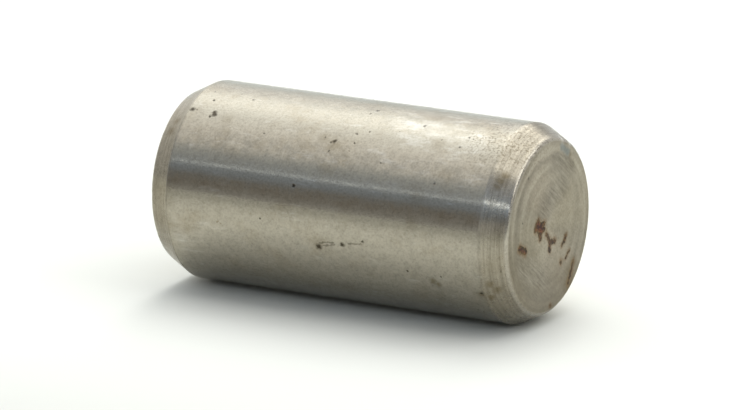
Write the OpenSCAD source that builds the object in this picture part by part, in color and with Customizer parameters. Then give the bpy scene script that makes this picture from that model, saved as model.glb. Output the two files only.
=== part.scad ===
// Parallel dowel pin: a short round bar of hardened steel, ground to size along its shank,
// with a turned lead-in chamfer at each end and both edges of each chamfer broken by a small radius.
// The pin stands on its lower end face, with its axis on +Z. Sizes are in millimetres.

/* [Pin] */
// Diameter of the ground shank
pin_d = 12; // [8:0.5:20]
// Overall length from one end face to the other
pin_len = 24; // [16:1:80]

/* [Ends] */
// Length of each lead-in chamfer along the axis
chamfer_len = 1.5; // [0.8:0.1:2]
// Angle of each chamfer to the axis
chamfer_angle = 28; // [15:1:45]

/* [Edges] */
// Radius where the shank turns into a chamfer
shank_edge_r = 0.3; // [0.1:0.05:1]
// Radius where a chamfer turns into its end face
face_edge_r = 0.3; // [0.1:0.05:0.5]

/* [Hidden] */
$fn = 128;

pin_r = pin_d / 2;

// Points of the section are [radius, height]. These are the two sharp corners of the upper end.
shank_corner = [pin_r, pin_len - chamfer_len];
face_corner = [pin_r - chamfer_len * tan(chamfer_angle), pin_len];

// Direction up the chamfer, from the shank to the end face
up_chamfer = [-sin(chamfer_angle), cos(chamfer_angle)];

// How far each edge radius reaches from its corner along both of the faces that it joins
shank_edge_reach = shank_edge_r * tan(chamfer_angle / 2);
face_edge_reach = face_edge_r * tan((90 - chamfer_angle) / 2);

// Where each edge radius leaves the face below its corner and joins the face above it
shank_edge = [shank_corner - [0, shank_edge_reach], shank_corner + shank_edge_reach * up_chamfer];
face_edge = [face_corner - face_edge_reach * up_chamfer, face_corner - [face_edge_reach, 0]];

// Both ends are alike, so the lower one mirrors the upper one about mid-length
function at_lower_end(point) = [point.x, pin_len - point.y];
upper_end = concat(shank_edge, face_edge);
lower_end = [for (i = [len(upper_end) - 1 : -1 : 0]) at_lower_end(upper_end[i])];

// Circle that rounds out one corner of the upper end, and the same corner of the lower end
module edge_radius(centre, r) {
    for (point = [centre, at_lower_end(centre)])
        translate(point)
            circle(r = r);
}

// Half of the section through the axis. The polygon cuts straight across each corner, between the
// ends of its edge radius, and a circle that touches both faces there rounds the corner out.
module half_section() {
    polygon(concat([[0, 0]], lower_end, upper_end, [[0, pin_len]]));
    edge_radius(shank_edge[0] - [shank_edge_r, 0], shank_edge_r);
    edge_radius(face_edge[1] - [0, face_edge_r], face_edge_r);
}

// The pin, turned from one bar
module dowel_pin() {
    color("#9c9890")
        rotate_extrude()
            half_section();
}

dowel_pin();
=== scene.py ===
# A dowel pin of ground steel, standing on its lower end as the library keeps it. The photograph shows it
# lying on a white sheet, so here the sheet stands upright against the pin's side and the camera is rolled.

import math
import random

import bmesh
import bpy
from mathutils import Matrix, Vector
from mathutils.kdtree import KDTree


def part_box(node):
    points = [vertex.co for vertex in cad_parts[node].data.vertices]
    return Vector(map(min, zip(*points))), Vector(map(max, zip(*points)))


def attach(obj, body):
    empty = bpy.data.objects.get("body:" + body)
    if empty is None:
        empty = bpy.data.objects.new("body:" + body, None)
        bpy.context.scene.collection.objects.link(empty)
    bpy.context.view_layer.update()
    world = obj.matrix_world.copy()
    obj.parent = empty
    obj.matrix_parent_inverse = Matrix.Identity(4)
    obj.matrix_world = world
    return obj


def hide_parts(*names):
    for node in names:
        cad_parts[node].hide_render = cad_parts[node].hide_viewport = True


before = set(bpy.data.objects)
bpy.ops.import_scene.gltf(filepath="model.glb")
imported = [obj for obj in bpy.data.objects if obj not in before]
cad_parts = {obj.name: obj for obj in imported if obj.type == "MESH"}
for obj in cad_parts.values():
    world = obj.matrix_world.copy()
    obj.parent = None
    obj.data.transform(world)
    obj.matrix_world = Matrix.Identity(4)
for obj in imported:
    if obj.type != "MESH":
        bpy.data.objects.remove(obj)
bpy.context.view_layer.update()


# The pin: a short round bar of hardened steel, turned at both ends and ground to size along its shank.
# It is plain steel without a coating, so it has tarnished, and rust has started on the upper end face.

mm = 0.001
pin_low, pin_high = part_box("dowel_pin")
pin_r = pin_high.x
pin_len = pin_high.z - pin_low.z
chamfer_len = 1.5 * mm
chamfer_angle = math.radians(28)
edge_r = 0.3 * mm
face_r = pin_r - chamfer_len * math.tan(chamfer_angle)

# The pin lay on its side when it was photographed. Places on its surface are measured from the line that
# was uppermost then: sheet_up points away from the sheet, sheet_front towards the side that was in view.
sheet_turn = math.radians(20)
sheet_up = Vector((math.sin(sheet_turn), -math.cos(sheet_turn), 0))
sheet_front = Vector((0, 0, 1)).cross(sheet_up)

# The half section is six corners, rounded where the chamfers start and end, and cut fine enough for the
# tool marks of the ends. It is then spun round the axis.
bm = bmesh.new()
corners = [
    (0, 0),
    (face_r, 0),
    (pin_r, chamfer_len),
    (pin_r, pin_len - chamfer_len),
    (face_r, pin_len),
    (0, pin_len),
]
section = [bm.verts.new((r, 0, z)) for r, z in corners]
for a, b in zip(section, section[1:]):
    bm.edges.new((a, b))
face_edges = [section[1], section[4]]
shank_edges = [section[2], section[3]]
edge_steps = 6
for edge, turned in ((face_edges, math.pi / 2 - chamfer_angle), (shank_edges, chamfer_angle)):
    bmesh.ops.bevel(
        bm,
        geom=edge,
        offset=edge_r * math.tan(turned / 2),
        offset_type="OFFSET",
        affect="VERTICES",
        segments=edge_steps,
        profile=0.5,
        material=-1,
    )

end_step = 0.08 * mm
shank_step = 0.35 * mm
for e in list(bm.edges):
    length = e.calc_length()
    step = shank_step if length > pin_len / 2 else end_step
    if length > 2 * step:
        bmesh.ops.subdivide_edges(bm, edges=[e], cuts=round(length / step) - 1)

spin_steps = 320
merge_reach = 0.001 * mm
bmesh.ops.spin(
    bm,
    geom=bm.verts[:] + bm.edges[:],
    cent=(0, 0, 0),
    axis=(0, 0, 1),
    angle=math.tau,
    steps=spin_steps,
    use_merge=True,
)
bmesh.ops.remove_doubles(bm, verts=bm.verts, dist=merge_reach)
bmesh.ops.recalc_face_normals(bm, faces=bm.faces)
bm.normal_update()

# Tool marks: the facing cut leaves a shallow spiral on each end face, the chamfer tool a finer one. A light
# last cut left a narrow land round each face, which falls away a little towards its edge.
facing_feed = 0.65 * mm
facing_depth = 0.004 * mm
land_r = 4.45 * mm
land_fall = math.tan(math.radians(1))
chamfer_feed = 0.29 * mm
chamfer_depth = 0.003 * mm

# Rust on the upper face, as runs from one point to another with a half width, in millimetres. The first
# number of a point is to the right as one looks at the face with the sheet below, the second is up.
rust_runs = [
    ((-1.40, 0.40), (-1.00, 0.05), 0.36),
    ((-1.70, 0.20), (-1.20, 0.20), 0.20),
    ((-1.35, 0.60), (-1.25, 0.40), 0.22),
    ((-1.00, 0.30), (-0.60, 0.35), 0.17),
    ((-1.10, 0.05), (-0.70, 0.00), 0.20),
    ((-1.20, -0.10), (-1.10, -0.45), 0.18),
    ((-3.70, -0.45), (-3.00, -0.85), 0.22),
    ((-0.35, -0.35), (0.05, -0.85), 0.15),
    ((0.05, -0.95), (0.75, -1.05), 0.16),
    ((0.10, -1.00), (0.10, -1.45), 0.17),
    ((2.15, -1.05), (1.95, -1.30), 0.16),
    ((1.95, -1.30), (1.65, -1.55), 0.09),
    ((2.60, -2.05), (2.15, -2.40), 0.08),
    ((1.50, -2.50), (1.55, -2.55), 0.13),
    ((3.15, -2.85), (2.95, -3.05), 0.11),
    ((2.95, -3.30), (2.70, -3.70), 0.14),
    ((2.60, -3.80), (2.45, -4.10), 0.12),
    ((0.20, -4.85), (0.25, -4.90), 0.10),
]
rust_fringe = 0.25
rust_rise = 0.02 * mm


def distance_to_run(point, start, end):
    """How far a point is from the straight run between two others."""
    run = end - start
    along = max(0.0, min(1.0, (point - start).dot(run) / run.length_squared))
    return (point - start - run * along).length


def rust_at(right, up):
    """Rust at a place on the upper face: 0.5 at the edge of a spot, 1 well inside it, 0 well outside."""
    place = Vector((right, up))
    outside = min(distance_to_run(place, Vector(a), Vector(b)) - width for a, b, width in rust_runs)
    return max(0.0, min(1.0, 0.5 - outside / (2 * rust_fringe)))


# Knocks on the edges of the faces: angle round the pin from the line that was uppermost, height, radius and
# depth in millimetres. One hit bruised the upper face, and small ones are scattered round both faces.
knocks = [(-23, 24, 0.60, 0.07), (-33, 24, 0.45, 0.05)]
small_knocks = 26
small_knock_depth = 0.015
chance = random.Random(7)
for knock in range(small_knocks):
    knock_angle = chance.uniform(0, 360)
    knock_height = chance.choice([0, 24])
    knock_r = chance.uniform(0.15, 0.35)
    knocks.append((knock_angle, knock_height, knock_r, small_knock_depth))

# Tool marks and rust move the vertices of the ends, and each vertex keeps how rusty it is. Knocks come last.
face_reach = 0.001 * mm
shank_reach = 0.02 * mm
rise_from = 0.4
rust_layer = bm.verts.layers.float.new("rust")
for v in bm.verts:
    r = math.hypot(v.co.x, v.co.y)
    turn = math.atan2(v.co.y, v.co.x) / math.tau
    inward = -v.normal
    end = min(v.co.z, pin_len - v.co.z)
    move = Vector((0, 0, 0))
    if end < face_reach:
        move += inward * facing_depth * (0.5 + 0.5 * math.cos(math.tau * (r / facing_feed + turn)))
        move += inward * land_fall * max(0.0, r - land_r)
    elif end < chamfer_len and r < pin_r - shank_reach:
        move += inward * chamfer_depth * (0.5 + 0.5 * math.cos(math.tau * (end / chamfer_feed + turn)))
    if v.co.z > pin_len - face_reach:
        rust = rust_at(-v.co.dot(sheet_front) / mm, v.co.dot(sheet_up) / mm)
        v[rust_layer] = rust
        move -= inward * rust_rise * max(0.0, rust - rise_from)
    v.co += move

bm.verts.ensure_lookup_table()
finder = KDTree(len(bm.verts))
for v in bm.verts:
    finder.insert(v.co, v.index)
finder.balance()
for knock_angle, knock_height, knock_r, knock_depth in knocks:
    turned = math.radians(knock_angle)
    out = sheet_up * math.cos(turned) + sheet_front * math.sin(turned)
    centre = out * face_r + Vector((0, 0, knock_height * mm))
    for spot, index, away in finder.find_range(centre, knock_r * mm):
        near = 1 - away / (knock_r * mm)
        bm.verts[index].co -= bm.verts[index].normal * knock_depth * mm * near * near * (3 - 2 * near)

pin_mesh = bpy.data.meshes.new("dowel_pin_steel")
bm.to_mesh(pin_mesh)
bm.free()
for face in pin_mesh.polygons:
    face.use_smooth = True
pin = bpy.data.objects.new("dowel_pin_steel", pin_mesh)
bpy.context.collection.objects.link(pin)


def linear(hex_colour):
    """A colour written as sRGB hex, as the linear values that shaders take."""
    parts = [int(hex_colour[i:i + 2], 16) / 255 for i in (1, 3, 5)]
    return [p / 12.92 if p <= 0.04045 else ((p + 0.055) / 1.055) ** 2.4 for p in parts] + [1]


def add(tree, kind, sockets, out=0, **settings):
    """Adds a node with its settings, and gives one of its outputs. A socket takes a value or an output."""
    made = tree.nodes.new("ShaderNode" + kind)
    for name, value in settings.items():
        setattr(made, name, value)
    for name, value in sockets.items():
        if isinstance(value, bpy.types.NodeSocket):
            tree.links.new(value, made.inputs[name])
        else:
            made.inputs[name].default_value = value
    return made.outputs[out]


# Ground steel: a warm grey metal whose grinding lines run round the pin, so that reflections stay sharp
# across it and smear along it. Tarnish clouds it, and rust sits on it as rough brown crust.
steel = bpy.data.materials.new("ground_steel")
steel.use_nodes = True
tree = steel.node_tree
tree.nodes.clear()

# Places in millimetres, with the height from the middle of the pin, and the distance from its axis.
place = add(tree, "Mapping", {
    "Vector": add(tree, "TexCoord", {}, "Object"),
    "Location": (0, 0, -pin_len / 2 / mm),
    "Scale": (1 / mm, 1 / mm, 1 / mm),
})
x = add(tree, "SeparateXYZ", {"Vector": place})
y = x.node.outputs["Y"]
z = x.node.outputs["Z"]
from_axis = add(tree, "CombineXYZ", {"X": x, "Y": y})
radius = add(tree, "VectorMath", {0: from_axis}, "Value", operation="LENGTH")
height = add(tree, "Math", {0: z}, operation="ABSOLUTE")

# The shank is ground. The ends are only turned, and their faces are the roughest.
ground = add(
    tree,
    "MapRange",
    {"Value": radius, "From Min": pin_r / mm - 0.10, "From Max": pin_r / mm - 0.02},
    interpolation_type="SMOOTHSTEP",
)
facing = add(
    tree,
    "MapRange",
    {"Value": radius, "From Min": face_r / mm + 0.10, "From Max": face_r / mm - 0.20},
    interpolation_type="SMOOTHSTEP",
)

# Worn edges: the edge of each face is rubbed bright.
worn = add(tree, "Math", {0: radius, 1: face_r / mm}, operation="SUBTRACT")
worn = add(tree, "Math", {0: worn}, operation="ABSOLUTE")
worn = add(
    tree,
    "MapRange",
    {"Value": worn, "From Min": 0.14, "From Max": 0.05, "To Max": 0.38},
    interpolation_type="SMOOTHSTEP",
)
# The edges where the chamfers meet the shank are dulled instead.
shank_edge = add(tree, "Math", {0: height, 1: (pin_len / 2 - chamfer_len) / mm}, operation="SUBTRACT")
shank_edge = add(tree, "Math", {0: shank_edge}, operation="ABSOLUTE")
shank_edge = add(
    tree,
    "MapRange",
    {"Value": shank_edge, "From Min": 0.13, "From Max": 0.03},
    interpolation_type="SMOOTHSTEP",
)

# Tool lines: noise that changes fast along the section and slowly round the pin. Real grinding lines are a
# few hundredths of a millimetre apart, so these are drawn coarser to show.
line_width = 0.15
ring_width = 0.50
line_length = 3
along_section = add(tree, "Math", {0: height, 1: radius}, operation="SUBTRACT")
section_place = add(tree, "CombineXYZ", {"X": along_section, "Y": x, "Z": y})
line_place = add(
    tree,
    "Mapping",
    {"Vector": section_place, "Scale": (line_width, line_length, line_length)},
    vector_type="TEXTURE",
)
lines = add(tree, "TexNoise", {"Vector": line_place, "Scale": 1, "Detail": 2, "Roughness": 0.6})
ring_place = add(
    tree,
    "Mapping",
    {"Vector": section_place, "Scale": (ring_width, line_length, line_length)},
    vector_type="TEXTURE",
)
rings = add(tree, "TexNoise", {"Vector": ring_place, "Scale": 1, "Detail": 1, "Roughness": 0.5})

# Scuffs on the faces, all one way, from the flat stone that took off the burr. The land has none.
scuff_width = 0.12
scuff_length = 1.3
scuff_slope = math.radians(37)
scuff_way = -sheet_front * math.cos(scuff_slope) - sheet_up * math.sin(scuff_slope)
scuff_place = add(
    tree,
    "Mapping",
    {
        "Vector": place,
        "Rotation": (0, 0, math.atan2(scuff_way.y, scuff_way.x)),
        "Scale": (scuff_length, scuff_width, 1),
    },
    vector_type="TEXTURE",
)
scuffs = add(
    tree,
    "TexNoise",
    {"Vector": scuff_place, "Scale": 1, "Detail": 4, "Roughness": 0.65, "Distortion": 0.5},
)
inside_land = add(
    tree,
    "MapRange",
    {"Value": radius, "From Min": land_r / mm + 0.10, "From Max": land_r / mm - 0.15},
    interpolation_type="SMOOTHSTEP",
)
inside_land = add(tree, "Math", {0: inside_land, 1: facing}, operation="MULTIPLY")

# Streaks along the shank, where it rolled against its neighbours.
streak_width = 0.30
streak_length = 4
streak_place = add(
    tree,
    "Mapping",
    {"Vector": place, "Scale": (streak_width, streak_width, streak_length)},
    vector_type="TEXTURE",
)
streaks = add(tree, "TexNoise", {"Vector": streak_place, "Scale": 1, "Detail": 2, "Roughness": 0.5})

# Tarnish: a faint mottle over clouds of a few millimetres, some of them brown, and a fine grain, which is
# grittier on the faces. The faces have gone olive too.
mottle_size = 0.45
cloud_size = 2.2
grain_size = 0.14
mottle = add(tree, "TexNoise", {"Vector": place, "Scale": 1 / mottle_size, "Detail": 5, "Roughness": 0.7})
clouds = add(tree, "TexNoise", {"Vector": place, "Scale": 1 / cloud_size, "Detail": 5, "Roughness": 0.65})
tarnish = add(
    tree,
    "MapRange",
    {"Value": mottle, "From Min": 0.35, "From Max": 0.75, "To Max": 0.5},
    interpolation_type="SMOOTHSTEP",
)
browning = add(
    tree,
    "MapRange",
    {"Value": clouds, "From Min": 0.48, "From Max": 0.78, "To Max": 0.5},
    interpolation_type="SMOOTHSTEP",
)
tint = add(tree, "Mix", {0: tarnish, 6: linear("#ACA697"), 7: linear("#918C7F")}, 2, data_type="RGBA")
tint = add(tree, "Mix", {0: browning, 6: tint, 7: linear("#8C8069")}, 2, data_type="RGBA")
grain = add(tree, "TexNoise", {"Vector": place, "Scale": 1 / grain_size, "Detail": 2, "Roughness": 0.6})
grain_dark = add(tree, "MapRange", {"Value": grain, "From Min": 0.48, "From Max": 0.70, "To Max": 0.20})
tint = add(tree, "Mix", {0: grain_dark, 6: tint, 7: linear("#6E685A")}, 2, data_type="RGBA")
grit_tone = add(tree, "MapRange", {"Value": grain, "From Min": 0.36, "From Max": 0.64})
grit_tint = add(
    tree, "Mix", {0: grit_tone, 6: linear("#B2AB96"), 7: linear("#6A6452")}, 2, data_type="RGBA"
)
grit_show = add(tree, "Math", {0: facing, 1: 0.35}, operation="MULTIPLY")
tint = add(tree, "Mix", {0: grit_show, 6: tint, 7: grit_tint}, 2, data_type="RGBA")
olive = add(tree, "Math", {0: facing, 1: 0.5}, operation="MULTIPLY")
tint = add(tree, "Mix", {0: olive, 6: tint, 7: linear("#9A907C")}, 2, data_type="RGBA")


def on_side(height, angle):
    """A point of the pin's side in millimetres, from the height and the angle from the uppermost line."""
    end = max(0, chamfer_len / mm - min(height, pin_len / mm - height))
    turned = math.radians(angle)
    out = sheet_up * math.cos(turned) + sheet_front * math.sin(turned)
    return out * (pin_r / mm - end * math.tan(chamfer_angle)) + Vector((0, 0, height - pin_len / 2 / mm))


def on_face(right, up):
    """A point of the upper face in millimetres, as one looks at it with the sheet below."""
    return sheet_up * up - sheet_front * right + Vector((0, 0, pin_len / 2 / mm))


# Smears along the shank, where it was handled and rubbed pale, most of all where it rolled on its
# neighbours.
smear_width = 0.6
smear_length = 2.0
rubbed_pale = linear("#C4C1B7")
smear_place = add(
    tree,
    "Mapping",
    {"Vector": place, "Scale": (smear_width, smear_width, smear_length)},
    vector_type="TEXTURE",
)
smears = add(tree, "TexNoise", {"Vector": smear_place, "Scale": 1, "Detail": 4, "Roughness": 0.65})
rolled = add(tree, "VectorMath", {0: place, 1: on_side(17.5, 21)}, "Value", operation="DISTANCE")
rolled = add(
    tree, "MapRange", {"Value": rolled, "From Min": 4.5, "From Max": 1.5}, interpolation_type="SMOOTHSTEP"
)
smears = add(tree, "Math", {0: rolled, 1: 0.11, 2: smears}, operation="MULTIPLY_ADD")
pale = add(
    tree,
    "MapRange",
    {"Value": smears, "From Min": 0.56, "From Max": 0.76, "To Max": 0.50},
    interpolation_type="SMOOTHSTEP",
)
pale = add(tree, "Math", {0: pale, 1: ground}, operation="MULTIPLY")
tint = add(tree, "Mix", {0: pale, 6: tint, 7: rubbed_pale}, 2, data_type="RGBA")

# The turned ends are duller, the lower chamfer most. They show their rings as paler and darker lines, more
# at the upper end and towards the edges of the faces.
turned_ends = add(tree, "Math", {0: 1, 1: ground}, operation="SUBTRACT")
chamfer = add(tree, "Math", {0: turned_ends, 1: facing}, operation="SUBTRACT")
chamfer_dull = add(
    tree, "MapRange", {"Value": z, "From Min": -10, "From Max": 10, "To Min": 0.50, "To Max": 0.25}
)
chamfer_dull = add(tree, "Math", {0: chamfer_dull, 1: chamfer}, operation="MULTIPLY")
tint = add(tree, "Mix", {0: chamfer_dull, 6: tint, 7: linear("#70674F")}, 2, data_type="RGBA")
ring_show = add(
    tree, "MapRange", {"Value": z, "From Min": -12, "From Max": 12, "To Min": 0.25, "To Max": 0.45}
)
ring_show = add(tree, "Math", {0: ring_show, 1: turned_ends}, operation="MULTIPLY")
from_middle = add(tree, "MapRange", {"Value": radius, "From Min": 2.6, "From Max": 4.4, "To Min": 0.1})
ring_show = add(tree, "Math", {0: ring_show, 1: from_middle}, operation="MULTIPLY")
broad = add(tree, "MapRange", {"Value": facing, "To Min": 0.15, "To Max": 0.70})
ring_tone = add(tree, "Mix", {0: broad, 2: lines, 3: rings}, data_type="FLOAT")
ring_tone = add(tree, "MapRange", {"Value": ring_tone, "From Min": 0.36, "From Max": 0.64})
ring_tint = add(
    tree, "Mix", {0: ring_tone, 6: linear("#7A7468"), 7: linear("#B4AD9D")}, 2, data_type="RGBA"
)
tint = add(tree, "Mix", {0: ring_show, 6: tint, 7: ring_tint}, 2, data_type="RGBA")

# Rings on each face where the facing tool dwelt: radius and half width in millimetres, and colour. Their
# paler and darker lines are painted stronger on the side that was in front, as painted highlight and shade.
tool_rings = [
    (2.7, 0.18, "#B8B19E"),
    (3.6, 0.20, "#C6BFAC"),
    (4.2, 0.20, "#7A7363"),
    (4.6, 0.16, "#C6BFAC"),
    (4.95, 0.12, "#746D5D"),
]
# Painted highlight and shade: the rings are drawn stronger towards the side that was in front.
front_ring_light = add(tree, "VectorMath", {0: place, 1: sheet_front}, "Value", operation="DOT_PRODUCT")
front_ring_light = add(
    tree, "MapRange", {"Value": front_ring_light, "From Min": -2, "From Max": 3, "To Min": 0.05, "To Max": 0.28}
)
for ring_r, ring_half, ring_colour in tool_rings:
    dwelt = add(tree, "Math", {0: radius, 1: ring_r}, operation="SUBTRACT")
    dwelt = add(tree, "Math", {0: dwelt}, operation="ABSOLUTE")
    dwelt = add(tree, "MapRange", {"Value": dwelt, "From Min": ring_half, "From Max": 0.05})
    dwelt = add(tree, "Math", {0: dwelt, 1: front_ring_light}, operation="MULTIPLY")
    tint = add(tree, "Mix", {0: dwelt, 6: tint, 7: linear(ring_colour)}, 2, data_type="RGBA")

# The edges come over the rings: pale round the faces, dark round the shank.
tint = add(tree, "Mix", {0: worn, 6: tint, 7: linear("#C0BCB2")}, 2, data_type="RGBA")
edge_dark = add(tree, "Math", {0: shank_edge, 1: 0.25}, operation="MULTIPLY")
tint = add(tree, "Mix", {0: edge_dark, 6: tint, 7: linear("#7C7668")}, 2, data_type="RGBA")

# Ragged places: the same places pushed about by noise, so that marks are not neat circles.
ragged_size = 0.2
ragged_push = 0.25
ragged = add(tree, "TexNoise", {"Vector": place, "Scale": 1 / ragged_size, "Detail": 2}, "Color")
ragged = add(tree, "VectorMath", {0: ragged, 1: (0.5, 0.5, 0.5)}, operation="SUBTRACT")
ragged = add(tree, "VectorMath", {0: ragged, "Scale": ragged_push}, operation="SCALE")
ragged = add(tree, "VectorMath", {0: place, 1: ragged}, operation="ADD")

# Specks, dark and small: a point and a radius in millimetres.
specks = [
    (on_side(3.25, 32.3), 0.15),
    (on_side(3.35, 34.0), 0.15),
    (on_side(3.1, 35.5), 0.10),
    (on_side(1.75, 32), 0.16),
    (on_side(2.05, 32), 0.06),
    (on_side(2.7, 22.5), 0.09),
    (on_side(2.3, 14), 0.06),
    (on_side(5.1, 17), 0.09),
    (on_side(13.1, 10), 0.12),
    (on_side(12.9, 15), 0.07),
    (on_side(16.8, 19.5), 0.09),
    (on_side(20.0, 24.5), 0.09),
    (on_side(20.3, 25), 0.06),
    (on_side(20.1, 27), 0.05),
    (on_side(19.8, 33), 0.09),
    (on_side(18.4, 29.5), 0.06),
    (on_side(13.7, 31), 0.06),
    (on_side(12.95, 33.5), 0.08),
    (on_side(13.1, 40.5), 0.06),
    (on_side(11.8, 41), 0.13),
    (on_side(11.6, 42), 0.08),
    (on_side(11.1, 39), 0.05),
    (on_side(11.7, 47.5), 0.06),
    (on_side(7.1, 42), 0.06),
    (on_side(15.3, 50.5), 0.06),
    (on_side(19.1, 58), 0.07),
    (on_side(10.0, 70.5), 0.10),
    (on_side(11.8, 103.7), 0.19),
    (on_side(13.4, 100.3), 0.14),
    (on_side(14.8, 96.7), 0.09),
    (on_side(7.9, 91.5), 0.06),
    (on_side(17.6, 111.5), 0.07),
    (on_side(19.8, 112), 0.06),
    (on_side(22.3, 120), 0.10),
    (on_face(0.2, -4.9), 0.10),
    (on_face(-3.4, 1.0), 0.06),
]
# Stains, brown with soft edges, and fainter ones, given in the same way. Among the fainter ones, the wide
# marks on the top of the upper chamfer and on the lower side of both chamfers are painted shade.
stains = [
    (on_side(5.0, 97.0), 0.07),
    (on_side(5.2, 98.0), 0.07),
    (on_side(19.2, 116), 0.22),
    (on_side(19.5, 118), 0.18),
    (on_side(22.3, 121), 0.30),
    (on_side(23.2, 46), 0.25),
    (on_side(23.1, 50), 0.30),
    (on_side(23.0, 54), 0.20),
    (on_side(22.9, 114), 0.30),
    (on_side(23.2, 119), 0.35),
    (on_side(22.8, 124), 0.25),
    (on_side(0.9, 40), 0.25),
    (on_side(0.8, 47), 0.30),
    (on_face(2.65, 3.75), 0.18),
    (on_face(3.1, -3.0), 0.45),
    (on_face(2.8, -3.5), 0.60),
    (on_face(2.6, -4.0), 0.60),
]
faint_stains_and_shade = [
    (on_side(11.8, 43), 0.50),
    (on_side(11.1, 40), 0.35),
    (on_side(4.3, 36), 0.40),
    (on_side(4.6, 44), 0.25),
    (on_side(18.0, 82), 0.35),
    (on_side(21.7, 21), 0.60),
    (on_side(18.4, 32), 0.40),
    (on_side(18.0, 11), 0.60),
    (on_side(17.0, 8), 0.90),
    (on_side(19.5, 9), 0.90),
    (on_side(20.8, 12), 0.50),
    # Painted shade: the marks of 0.8 mm or more on the chamfers below darken the top of the upper chamfer
    # and the lower side of both chamfers.
    (on_side(23.1, 0), 0.80),
    (on_side(22.7, 105), 0.25),
    (on_side(23.2, 104), 0.90),
    (on_side(23.2, 118), 1.10),
    (on_side(23.2, 133), 1.30),
    (on_side(0.7, 86), 0.90),
    (on_side(0.7, 104), 0.90),
    (on_side(0.7, 121), 0.90),
    (on_face(2.9, 3.3), 0.35),
    (on_face(-1.3, -3.4), 0.30),
]
# How far each place is from the nearest mark of each list, in radii of that mark.
far_off = 10
to_marks = []
for group in (specks, stains, faint_stains_and_shade):
    nearest = far_off
    for point, size in group:
        away = add(tree, "VectorMath", {0: ragged, 1: point}, "Value", operation="DISTANCE")
        away = add(tree, "Math", {0: away, 1: size}, operation="DIVIDE")
        nearest = add(tree, "Math", {0: away, 1: nearest}, operation="MINIMUM")
    to_marks.append(nearest)
to_speck, to_stain, to_faint = to_marks

# Long marks, given by their two ends: hair scratches, the bruise of the knocked edge, patches of the face
# that were rubbed on a stone, painted shade along the lower and lower-left edge of the face, and pale runs
# on the shank.
scratches = [
    (on_side(12.0, 103.0), on_side(12.9, 101.0)),
    (on_side(11.9, 101.5), on_side(12.3, 100.3)),
    (on_side(12.3, 100.3), on_side(12.8, 99.7)),
    (on_side(13.8, 99.2), on_side(14.7, 98.2)),
]
bruises = [(on_face(1.6, 4.5), on_face(2.4, 3.95))]
rubbed = [
    (on_face(-0.6, 1.3), on_face(1.8, 2.3)),
    (on_face(1.0, 3.8), on_face(2.6, 3.2)),
    (on_face(-3.2, -1.8), on_face(-1.0, -3.0)),
]
pale_runs = [
    (on_side(14.6, 17.5), on_side(17.6, 18.5)),
    (on_side(16.3, 23.0), on_side(18.3, 24.5)),
    (on_side(19.0, 28.0), on_side(21.2, 31.0)),
    (on_side(2.0, 99.0), on_side(2.3, 113.0)),
]
# Painted shade along the lower and lower-left edge of the upper face.
face_shade_runs = [
    (on_face(-3.9, -1.4), on_face(-1.6, -4.2)),
    (on_face(-1.6, -4.0), on_face(1.6, -4.2)),
]
# How far each place is from the nearest long mark of each list, in millimetres.
to_marks = []
for group in (scratches, bruises, rubbed, face_shade_runs, pale_runs):
    nearest = far_off
    for first, last in group:
        run = last - first
        from_first = add(tree, "VectorMath", {0: ragged, 1: first}, operation="SUBTRACT")
        along = add(
            tree,
            "VectorMath",
            {0: from_first, 1: run / run.length_squared},
            "Value",
            operation="DOT_PRODUCT",
        )
        along = add(tree, "Clamp", {"Value": along})
        foot = add(tree, "VectorMath", {0: run, "Scale": along}, operation="SCALE")
        away = add(tree, "VectorMath", {0: from_first, 1: foot}, "Value", operation="DISTANCE")
        nearest = add(tree, "Math", {0: away, 1: nearest}, operation="MINIMUM")
    to_marks.append(nearest)
to_scratch, to_bruise, to_rubbed, to_face_shade, to_pale = to_marks

scratch = add(tree, "MapRange", {"Value": to_scratch, "From Min": 0.08, "From Max": 0.02, "To Max": 0.55})
bruise = add(
    tree,
    "MapRange",
    {"Value": to_bruise, "From Min": 0.38, "From Max": 0.05, "To Max": 0.65},
    interpolation_type="SMOOTHSTEP",
)
pale_run = add(tree, "MapRange", {"Value": to_pale, "From Min": 0.65, "From Max": 0.05, "To Max": 0.45})
pale_part = add(tree, "MapRange", {"Value": smears, "From Min": 0.36, "From Max": 0.66})
pale_run = add(tree, "Math", {0: pale_run, 1: pale_part}, operation="MULTIPLY")
tint = add(tree, "Mix", {0: pale_run, 6: tint, 7: rubbed_pale}, 2, data_type="RGBA")
rub = add(
    tree,
    "MapRange",
    {"Value": to_rubbed, "From Min": 1.3, "From Max": 0.2},
    interpolation_type="SMOOTHSTEP",
)
rub = add(tree, "Math", {0: rub, 1: inside_land}, operation="MULTIPLY")
# Painted shade: the lower and lower-left edge of the upper face is darkened with the dark tint of the rubbed
# patches.
face_shade = add(
    tree,
    "MapRange",
    {"Value": to_face_shade, "From Min": 2.8, "From Max": 0.5},
    interpolation_type="SMOOTHSTEP",
)
face_shade = add(tree, "Math", {0: face_shade, 1: facing}, operation="MULTIPLY")
rub_and_face_shade = add(tree, "Math", {0: rub, 1: face_shade}, operation="MAXIMUM")
rub_and_face_shade = add(tree, "Math", {0: rub_and_face_shade, 1: 0.62}, operation="MULTIPLY")
tint = add(tree, "Mix", {0: rub_and_face_shade, 6: tint, 7: linear("#6A6251")}, 2, data_type="RGBA")
scuff_tone = add(tree, "MapRange", {"Value": scuffs, "From Min": 0.36, "From Max": 0.62})
scuff_tint = add(
    tree, "Mix", {0: scuff_tone, 6: linear("#B6B0A2"), 7: linear("#6B6557")}, 2, data_type="RGBA"
)
scuff_show = add(tree, "MapRange", {"Value": rub, "To Min": 0.08, "To Max": 0.36})
scuff_show = add(tree, "Math", {0: scuff_show, 1: inside_land}, operation="MULTIPLY")
tint = add(tree, "Mix", {0: scuff_show, 6: tint, 7: scuff_tint}, 2, data_type="RGBA")
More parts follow.
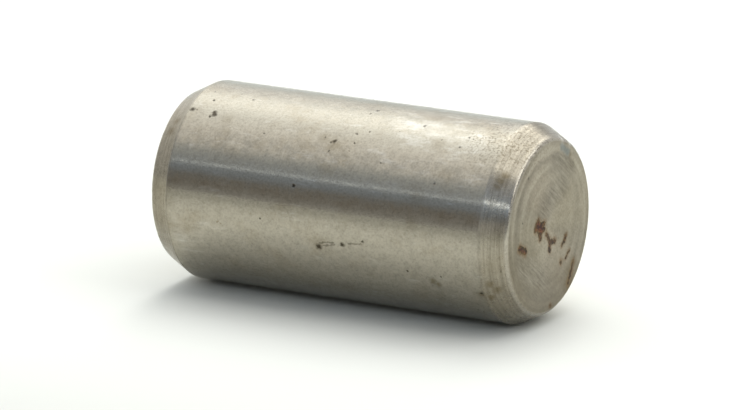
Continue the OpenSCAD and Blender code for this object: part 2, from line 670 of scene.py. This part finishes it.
tint = add(tree, "Mix", {0: bruise, 6: tint, 7: linear("#5F6D70")}, 2, data_type="RGBA")
# The brown of the faint list also paints shade on the chamfers.
stain_and_shade = add(tree, "MapRange", {"Value": to_stain, "From Min": 1.6, "From Max": 0.3, "To Max": 0.6})
faint = add(tree, "MapRange", {"Value": to_faint, "From Min": 1.6, "From Max": 0.3, "To Max": 0.22})
stain_and_shade = add(tree, "Math", {0: stain_and_shade, 1: faint}, operation="MAXIMUM")
tint = add(tree, "Mix", {0: stain_and_shade, 6: tint, 7: linear("#655738")}, 2, data_type="RGBA")

# Pits: dark specks up to a quarter of a millimetre wide, scattered thinly and of uneven size.
pit_space = 0.8
pit_cells = add(tree, "TexVoronoi", {"Vector": ragged, "Scale": 1 / pit_space}, "Color")
pit_size = add(
    tree,
    "MapRange",
    {"Value": pit_cells, "From Min": 0.6, "From Max": 0.9, "To Max": 0.14},
)
pit_depth = add(tree, "Math", {0: pit_size, 1: pit_cells.node.outputs["Distance"]}, operation="SUBTRACT")
pits = add(tree, "MapRange", {"Value": pit_depth, "From Max": 0.08, "To Max": 0.5})

# Pepper: finer pits, faint all over, and crowded on the upper chamfer and the shank beside it.
pepper_size = 0.15
pepper = add(tree, "TexNoise", {"Vector": place, "Scale": 1 / pepper_size, "Detail": 3, "Roughness": 0.6})
pepper = add(tree, "MapRange", {"Value": pepper, "From Min": 0.48, "From Max": 0.68, "To Max": 0.75})
pepper_near = add(tree, "VectorMath", {0: place, 1: on_side(22.5, 20)}, "Value", operation="DISTANCE")
pepper_near = add(
    tree, "MapRange", {"Value": pepper_near, "From Min": 3.2, "From Max": 1.2, "To Min": 0.28}
)
pepper = add(tree, "Math", {0: pepper, 1: pepper_near}, operation="MULTIPLY")
tint = add(tree, "Mix", {0: pepper, 6: tint, 7: linear("#5A503B")}, 2, data_type="RGBA")

# Specks and scratches share the colour of the pits.
speck = add(tree, "MapRange", {"Value": to_speck, "From Min": 1.4, "From Max": 0.5, "To Max": 0.9})
pits = add(tree, "Math", {0: pits, 1: speck}, operation="MAXIMUM")
pits = add(tree, "Math", {0: pits, 1: scratch}, operation="MAXIMUM")
tint = add(tree, "Mix", {0: pits, 6: tint, 7: linear("#332C20")}, 2, data_type="RGBA")

# Rust: the spots of the mesh, with their edges broken up by noise and a brown halo. Well inside a spot the
# crust is older and redder.
crumb_size = 0.3
crumb_break = 0.9
spots = add(tree, "Attribute", {}, "Fac", attribute_name="rust")
crumbs = add(tree, "TexNoise", {"Vector": place, "Scale": 1 / crumb_size, "Detail": 4, "Roughness": 0.7})
broken = add(tree, "Math", {0: crumbs, 1: 0.5}, operation="SUBTRACT")
broken = add(tree, "Math", {0: broken, 1: crumb_break, 2: spots}, operation="MULTIPLY_ADD")
crust = add(
    tree,
    "MapRange",
    {"Value": broken, "From Min": 0.44, "From Max": 0.62},
    interpolation_type="SMOOTHSTEP",
)
halo = add(tree, "MapRange", {"Value": broken, "From Min": 0.15, "From Max": 0.6, "To Max": 0.8})
tint = add(tree, "Mix", {0: halo, 6: tint, 7: linear("#7C6240")}, 2, data_type="RGBA")
crumb_tone = add(tree, "MapRange", {"Value": crumbs, "From Min": 0.40, "From Max": 0.58})
old_rust = add(tree, "MapRange", {"Value": spots, "From Min": 0.65, "From Max": 0.95})
light_crust = add(
    tree, "Mix", {0: old_rust, 6: linear("#64502F"), 7: linear("#7C4E30")}, 2, data_type="RGBA"
)
dark_crust = add(
    tree, "Mix", {0: old_rust, 6: linear("#33291A"), 7: linear("#38211A")}, 2, data_type="RGBA"
)
crust_tint = add(tree, "Mix", {0: crumb_tone, 6: light_crust, 7: dark_crust}, 2, data_type="RGBA")
tint = add(tree, "Mix", {0: crust, 6: tint, 7: crust_tint}, 2, data_type="RGBA")

# The crust is no metal. What each place adds to the roughness of the ground shank.
face_rough = 0.19
chamfer_rough = 0.05
edge_rough = 0.15
worn_rough = -0.10
crust_rough = 0.5
metal = add(tree, "Math", {0: 1, 1: crust}, operation="SUBTRACT")
dullness = add(
    tree, "MapRange", {"Value": mottle, "From Min": 0.35, "From Max": 0.65, "To Min": 0.13, "To Max": 0.27}
)
dullness = add(tree, "Math", {0: facing, 1: face_rough, 2: dullness}, operation="MULTIPLY_ADD")
dullness = add(tree, "Math", {0: chamfer, 1: chamfer_rough, 2: dullness}, operation="MULTIPLY_ADD")
dullness = add(tree, "Math", {0: shank_edge, 1: edge_rough, 2: dullness}, operation="MULTIPLY_ADD")
dullness = add(tree, "Math", {0: worn, 1: worn_rough, 2: dullness}, operation="MULTIPLY_ADD")
dullness = add(tree, "Math", {0: crust, 1: crust_rough, 2: dullness}, operation="MULTIPLY_ADD")

# Relief in thousandths of a millimetre. Pits and pepper go inwards.
scuff_height = 2
mottle_height = 1
pit_height = -8
pepper_height = -3
crumb_height = 30
turned_lines = add(tree, "MapRange", {"Value": ground, "To Min": 2.0, "To Max": 0.1})
relief = add(tree, "Math", {0: lines, 1: turned_lines}, operation="MULTIPLY")
scuff_relief = add(tree, "Math", {0: scuffs, 1: inside_land}, operation="MULTIPLY")
relief = add(tree, "Math", {0: scuff_relief, 1: scuff_height, 2: relief}, operation="MULTIPLY_ADD")
streak_relief = add(tree, "MapRange", {"Value": rolled, "To Min": 1.6, "To Max": 6})
streak_relief = add(tree, "Math", {0: streaks, 1: streak_relief}, operation="MULTIPLY")
relief = add(tree, "Math", {0: relief, 1: streak_relief}, operation="ADD")
relief = add(tree, "Math", {0: mottle, 1: mottle_height, 2: relief}, operation="MULTIPLY_ADD")
relief = add(tree, "Math", {0: pits, 1: pit_height, 2: relief}, operation="MULTIPLY_ADD")
relief = add(tree, "Math", {0: pepper, 1: pepper_height, 2: relief}, operation="MULTIPLY_ADD")
crumb_relief = add(tree, "Math", {0: crumbs, 1: crust}, operation="MULTIPLY")
relief = add(tree, "Math", {0: crumb_relief, 1: crumb_height, 2: relief}, operation="MULTIPLY_ADD")
bump = add(tree, "Bump", {"Height": relief, "Strength": 1, "Distance": 0.001 * mm})
round_pin = add(tree, "Tangent", {}, direction_type="RADIAL", axis="Z")

shader = add(tree, "BsdfPrincipled", {
    "Base Color": tint,
    "Metallic": metal,
    "Roughness": dullness,
    "Anisotropic": 0.9,
    "Anisotropic Rotation": 0.25,
    "Normal": bump,
    "Tangent": round_pin,
})
steel_output = tree.nodes.new("ShaderNodeOutputMaterial")
tree.links.new(shader, steel_output.inputs["Surface"])
pin_mesh.materials.append(steel)

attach(pin, "root")
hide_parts("dowel_pin")


# The sheet: matt white card that the pin lay on, touching it along one line. Its colour is painted
# darker towards the camera, as painted shade. Seen from behind it is left clear, so that the far
# side of the pin shows.

sheet_half = 300 * mm
shade_from = 14 * mm
shade_to = 60 * mm
bm = bmesh.new()
bmesh.ops.create_grid(bm, x_segments=1, y_segments=1, size=sheet_half)
sheet_place = Matrix((sheet_front, Vector((0, 0, 1)), sheet_up)).transposed().to_4x4()
sheet_place.translation = Vector((0, 0, pin_len / 2)) - sheet_up * pin_r
bmesh.ops.transform(bm, matrix=sheet_place, verts=bm.verts)
bm.normal_update()
if bm.faces[:][0].normal.dot(sheet_up) < 0:
    bmesh.ops.reverse_faces(bm, faces=bm.faces)
sheet_mesh = bpy.data.meshes.new("white_sheet")
bm.to_mesh(sheet_mesh)
bm.free()
sheet = bpy.data.objects.new("white_sheet", sheet_mesh)
bpy.context.collection.objects.link(sheet)

card = bpy.data.materials.new("matt_white_card")
card.use_nodes = True
tree = card.node_tree
tree.nodes.clear()
card_place = add(tree, "TexCoord", {}, "Object")
forward = add(tree, "VectorMath", {0: card_place, 1: sheet_front}, "Value", operation="DOT_PRODUCT")
# Painted shade: the card's colour darkens from shade_from to shade_to in front of the pin.
painted_shade = add(
    tree,
    "MapRange",
    {"Value": forward, "From Min": shade_from, "From Max": shade_to, "To Max": 0.50},
)
card_tint = add(tree, "Mix", {0: painted_shade, 6: linear("#DCDDD6"), 7: linear("#6A6B67")}, 2, data_type="RGBA")
front = add(tree, "BsdfDiffuse", {"Color": card_tint})
clear = add(tree, "BsdfTransparent", {})
behind = add(tree, "NewGeometry", {}, "Backfacing")
side = add(tree, "MixShader", {0: behind, 1: front, 2: clear})
card_output = tree.nodes.new("ShaderNodeOutputMaterial")
tree.links.new(side, card_output.inputs["Surface"])
sheet_mesh.materials.append(card)


# The light: a soft room, brighter above and behind the pin and dim on the camera's side. Its lists give an
# angle from straight up off the sheet towards the camera, a brightness and a colour, first for the light
# beyond the pin's lower end and then for the rest. Brightness is stored as a share of room_top.

low_room = [
    (-180, 0.40, "#FFFFFF"),
    (-100, 0.90, "#F6FCFA"),
    (-78, 1.00, "#F6FCFA"),
    (-60, 1.15, "#FFFFFF"),
    (-46, 1.65, "#FAFDFF"),
    (-38, 2.10, "#FAFDFF"),
    (-24, 2.00, "#FAFDFF"),
    (-10, 1.80, "#FAFDFF"),
    (12, 1.32, "#FFFFFF"),
    (32, 1.12, "#FFFFFF"),
    (43, 0.68, "#F4FAFF"),
    (62, 0.42, "#E0EDFF"),
    (68, 0.39, "#E6F0FF"),
    (71, 0.28, "#FFFAF2"),
    (80, 0.24, "#FFF6EC"),
    (86, 0.30, "#FFFFFF"),
    (94, 0.58, "#FFFFFF"),
    (180, 0.30, "#FFFFFF"),
]
high_room = [
    (-180, 0.40, "#FFFFFF"),
    (-100, 0.90, "#FFFFFF"),
    (-78, 0.85, "#FFFFFF"),
    (-60, 0.95, "#FFFFFF"),
    (-40, 1.35, "#FFFFFF"),
    (-20, 1.95, "#FFFFFF"),
    (14, 1.90, "#FFFFFF"),
    (23, 0.76, "#F4F7FF"),
    (36, 0.78, "#E6EEFF"),
    (62, 0.88, "#CCE0FF"),
    (72, 0.46, "#D8E6FF"),
    (82, 0.75, "#FFFFFF"),
    (94, 0.75, "#FFFFFF"),
    (180, 0.30, "#FFFFFF"),
]
room_top = 6.0
world = bpy.data.worlds.new("soft_room")
world.use_nodes = True
bpy.context.scene.world = world
tree = world.node_tree
tree.nodes.clear()
ray = add(tree, "TexCoord", {}, "Generated")
up_part = add(tree, "VectorMath", {0: ray, 1: sheet_up}, "Value", operation="DOT_PRODUCT")
front_part = add(tree, "VectorMath", {0: ray, 1: sheet_front}, "Value", operation="DOT_PRODUCT")
axis_part = add(tree, "SeparateXYZ", {"Vector": ray}, "Z")
angle = add(tree, "Math", {0: front_part, 1: up_part}, operation="ARCTAN2")
share = add(tree, "MapRange", {"Value": angle, "From Min": -math.pi, "From Max": math.pi})
lights = []
for room in (low_room, high_room):
    light = add(tree, "ValToRGB", {"Fac": share})
    stops = light.node.color_ramp.elements
    while len(stops) < len(room):
        stops.new(0.5)
    for stop, (degrees, level, hue) in zip(stops, room):
        stop.position = (degrees + 180) / 360
    for stop, (degrees, level, hue) in zip(stops, room):
        stop.color = [c * level / room_top for c in linear(hue)[:3]] + [1]
    lights.append(light)
low_light, high_light = lights
upper = add(tree, "MapRange", {"Value": axis_part, "From Min": -0.42, "From Max": -0.15})
light = add(tree, "Mix", {0: upper, 6: low_light, 7: high_light}, 2, data_type="RGBA")

# Off the ends of the pin the room is dim. Over the upper end the light from above reaches further.
below = add(tree, "MapRange", {"Value": axis_part, "From Min": -0.56, "From Max": -0.85})
below_level = add(tree, "MapRange", {
    "Value": front_part,
    "From Min": -0.7,
    "From Max": 0.7,
    "To Min": 1.55 / room_top,
    "To Max": 0.15 / room_top,
})
light = add(tree, "Mix", {0: below, 6: light, 7: below_level}, 2, data_type="RGBA")
above = add(tree, "Math", {0: up_part, 1: -0.6, 2: axis_part}, operation="MULTIPLY_ADD")
above = add(tree, "Math", {0: front_part, 1: -0.35, 2: above}, operation="MULTIPLY_ADD")
above = add(tree, "MapRange", {"Value": above, "From Min": 0.00, "From Max": 0.30})
above_level = add(tree, "MapRange", {
    "Value": front_part,
    "From Min": -0.8,
    "From Max": 0.0,
    "To Min": 0.90 / room_top,
    "To Max": 0.30 / room_top,
})
light = add(tree, "Mix", {0: above, 6: light, 7: above_level}, 2, data_type="RGBA")

# A wide soft box hangs above and behind the pin.
box_angle = math.radians(-36)
box_shift = 0.17
box_level = 6.0
box_turn = add(tree, "Math", {0: angle, 1: box_angle}, operation="SUBTRACT")
box_turn = add(tree, "Math", {0: box_turn}, operation="ABSOLUTE")
box_turn = add(
    tree,
    "MapRange",
    {"Value": box_turn, "From Min": math.radians(35), "From Max": math.radians(12)},
    interpolation_type="SMOOTHSTEP",
)
box_along = add(tree, "Math", {0: axis_part, 1: box_shift}, operation="ADD")
box_along = add(tree, "Math", {0: box_along}, operation="ABSOLUTE")
box_along = add(
    tree,
    "MapRange",
    {"Value": box_along, "From Min": 0.23, "From Max": 0.08},
    interpolation_type="SMOOTHSTEP",
)
box = add(tree, "Math", {0: box_turn, 1: box_along}, operation="MULTIPLY")
light = add(tree, "Mix", {0: box, 6: light, 7: [box_level / room_top] * 3 + [1]}, 2, data_type="RGBA")

# A narrower one hangs aslant, high over the upper end.
lamp_angle = math.radians(-12)
lamp_slant = 0.38
lamp_shift = 0.76
lamp_level = 3.6
lamp_turn = add(tree, "Math", {0: angle, 1: lamp_angle}, operation="SUBTRACT")
lamp_turn = add(tree, "Math", {0: lamp_turn}, operation="ABSOLUTE")
lamp_turn = add(
    tree,
    "MapRange",
    {"Value": lamp_turn, "From Min": math.radians(40), "From Max": math.radians(28)},
    interpolation_type="SMOOTHSTEP",
)
lamp_along = add(tree, "Math", {0: angle, 1: -lamp_slant, 2: axis_part}, operation="MULTIPLY_ADD")
lamp_along = add(tree, "Math", {0: lamp_along, 1: lamp_shift}, operation="SUBTRACT")
lamp_along = add(tree, "Math", {0: lamp_along}, operation="ABSOLUTE")
lamp_along = add(
    tree,
    "MapRange",
    {"Value": lamp_along, "From Min": 0.14, "From Max": 0.06},
    interpolation_type="SMOOTHSTEP",
)
lamp = add(tree, "Math", {0: lamp_turn, 1: lamp_along}, operation="MULTIPLY")
light = add(tree, "Mix", {0: lamp, 6: light, 7: [lamp_level / room_top] * 3 + [1]}, 2, data_type="RGBA")

# A narrow cool tube on the camera's side lies along the pin and shows mostly in its upper end.
tube_turn = add(tree, "MapRange", {
    "Value": axis_part,
    "From Min": -0.5,
    "From Max": 0.4,
    "To Min": math.radians(57.5),
    "To Max": math.radians(55),
})
tube_off = add(tree, "Math", {0: angle, 1: tube_turn}, operation="SUBTRACT")
tube_off = add(tree, "Math", {0: tube_off}, operation="ABSOLUTE")
tube_width = add(tree, "MapRange", {
    "Value": axis_part,
    "From Min": -0.5,
    "From Max": 0.4,
    "To Min": math.radians(0.8),
    "To Max": math.radians(1.4),
})
tube_off = add(tree, "Math", {0: tube_off, 1: tube_width}, operation="DIVIDE")
tube = add(
    tree,
    "MapRange",
    {"Value": tube_off, "From Min": 1, "From Max": 0.4},
    interpolation_type="SMOOTHSTEP",
)
tube_level = add(
    tree, "MapRange", {"Value": axis_part, "From Min": -0.5, "From Max": 0.35, "To Min": 0.16, "To Max": 1}
)
tube = add(tree, "Math", {0: tube, 1: tube_level}, operation="MULTIPLY")
light = add(tree, "Mix", {0: tube, 6: light, 7: linear("#E8F2FF")}, 2, data_type="RGBA")
glow = add(tree, "Background", {"Color": light, "Strength": room_top})
world_output = tree.nodes.new("ShaderNodeOutputWorld")
tree.links.new(glow, world_output.inputs["Surface"])


# The camera: a long lens, low over the sheet and turned towards the upper end of the pin. It is rolled
# so that the sheet lies level, as it did when the pin was photographed.

camera_rise = math.radians(15.14)
camera_swing = math.radians(28.76)
camera_distance = 446.2 * mm
focal_length = 360.8
aim_right = 0.316 * mm
aim_down = 0.234 * mm
towards = (
    sheet_up * math.sin(camera_rise)
    + sheet_front * math.cos(camera_rise) * math.cos(camera_swing)
    + Vector((0, 0, 1)) * math.cos(camera_rise) * math.sin(camera_swing)
)
rightwards = sheet_up.cross(towards).normalized()
upwards = towards.cross(rightwards)
aim = Vector((0, 0, pin_len / 2)) + rightwards * aim_right - upwards * aim_down
lens = bpy.data.cameras.new("long_lens")
lens.lens = focal_length
lens.sensor_width = 36
lens.clip_start = 10 * mm
lens.clip_end = 5
camera = bpy.data.objects.new("camera", lens)
camera_place = Matrix((rightwards, upwards, towards)).transposed().to_4x4()
camera_place.translation = aim + towards * camera_distance
camera.matrix_world = camera_place
bpy.context.collection.objects.link(camera)
bpy.context.scene.camera = camera
bpy.context.scene.view_settings.view_transform = "Standard"
